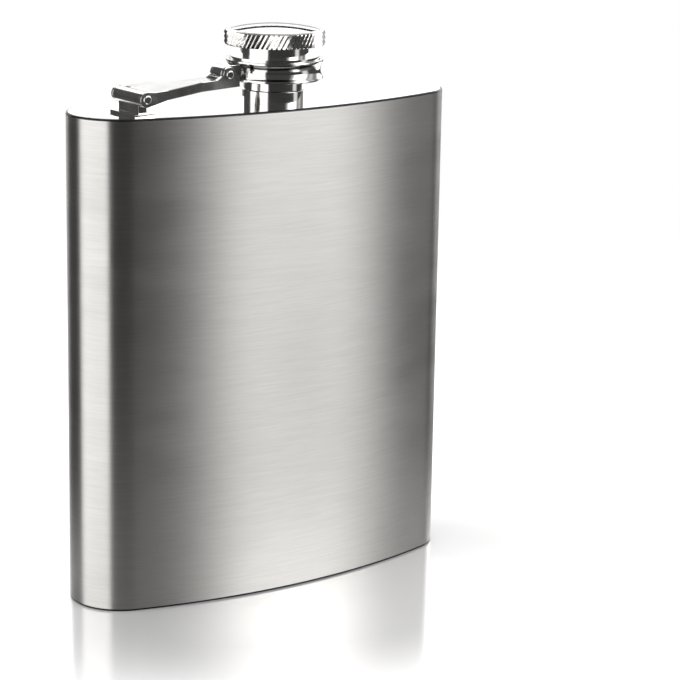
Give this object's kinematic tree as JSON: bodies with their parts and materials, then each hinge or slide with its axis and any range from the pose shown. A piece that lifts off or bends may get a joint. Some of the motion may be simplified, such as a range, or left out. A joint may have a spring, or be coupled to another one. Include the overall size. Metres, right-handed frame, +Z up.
{
  "type": "hip flask",
  "caption": "Curved steel hip flask with flat end plates, a short threaded spout, and a knurled screw cap held captive by a hinged swing arm.",
  "frame": {"origin": "centre of the plan box on the base plate's lower face, which stands on z = 0", "axes": "+Z up along the body and the cap's axis; +X across the width, with the hinge on the -X side; -Y towards the convex front face"},
  "size_m": [0.095, 0.028, 0.1249],
  "materials": {
    "brushed_wall": "fine horizontal brushing",
    "polished_plate": "mirror polished stainless steel",
    "polished_spout": "mirror polished stainless steel",
    "polished_hinge": "polished stainless sheet and pins",
    "polished_collar": "mirror polished stainless steel",
    "knurled_cap": "polished, with a diamond knurl on the head",
    "polished_crown": "mirror polished dome",
    "gasket_silicone": "translucent white silicone"
  },
  "bodies": {
    "root": {"body_wall": "brushed_wall", "top_plate": "polished_plate", "base_plate": "polished_plate", "spout": "polished_spout", "hinge_bracket": "polished_hinge"},
    "arm": {"swing_arm": "polished_hinge", "hinge_pin": "polished_hinge", "collar_pin": "polished_hinge"},
    "collar": {"cap_collar": "polished_collar"},
    "cap": {"cap_head": "knurled_cap", "crown_disc": "polished_crown", "retaining_ring": "polished_collar", "cap_gasket": "gasket_silicone"}
  },
  "joints": [
    {"name": "arm_swing", "type": "hinge", "parent": "root", "child": "arm", "pos_m": [-0.036, -0.00253, 0.1118], "axis": [0, -1, 0], "range_deg": [0, 180]},
    {"name": "collar_tilt", "type": "hinge", "parent": "arm", "child": "collar", "pos_m": [-0.0133, -0.00253, 0.1151], "axis": [0, -1, 0], "range_deg": [0, 90]},
    {"name": "cap_turn", "type": "hinge", "parent": "collar", "child": "cap", "pos_m": [0, -0.00253, 0.1184], "axis": [0, 0, 1], "continuous": true}
  ]
}
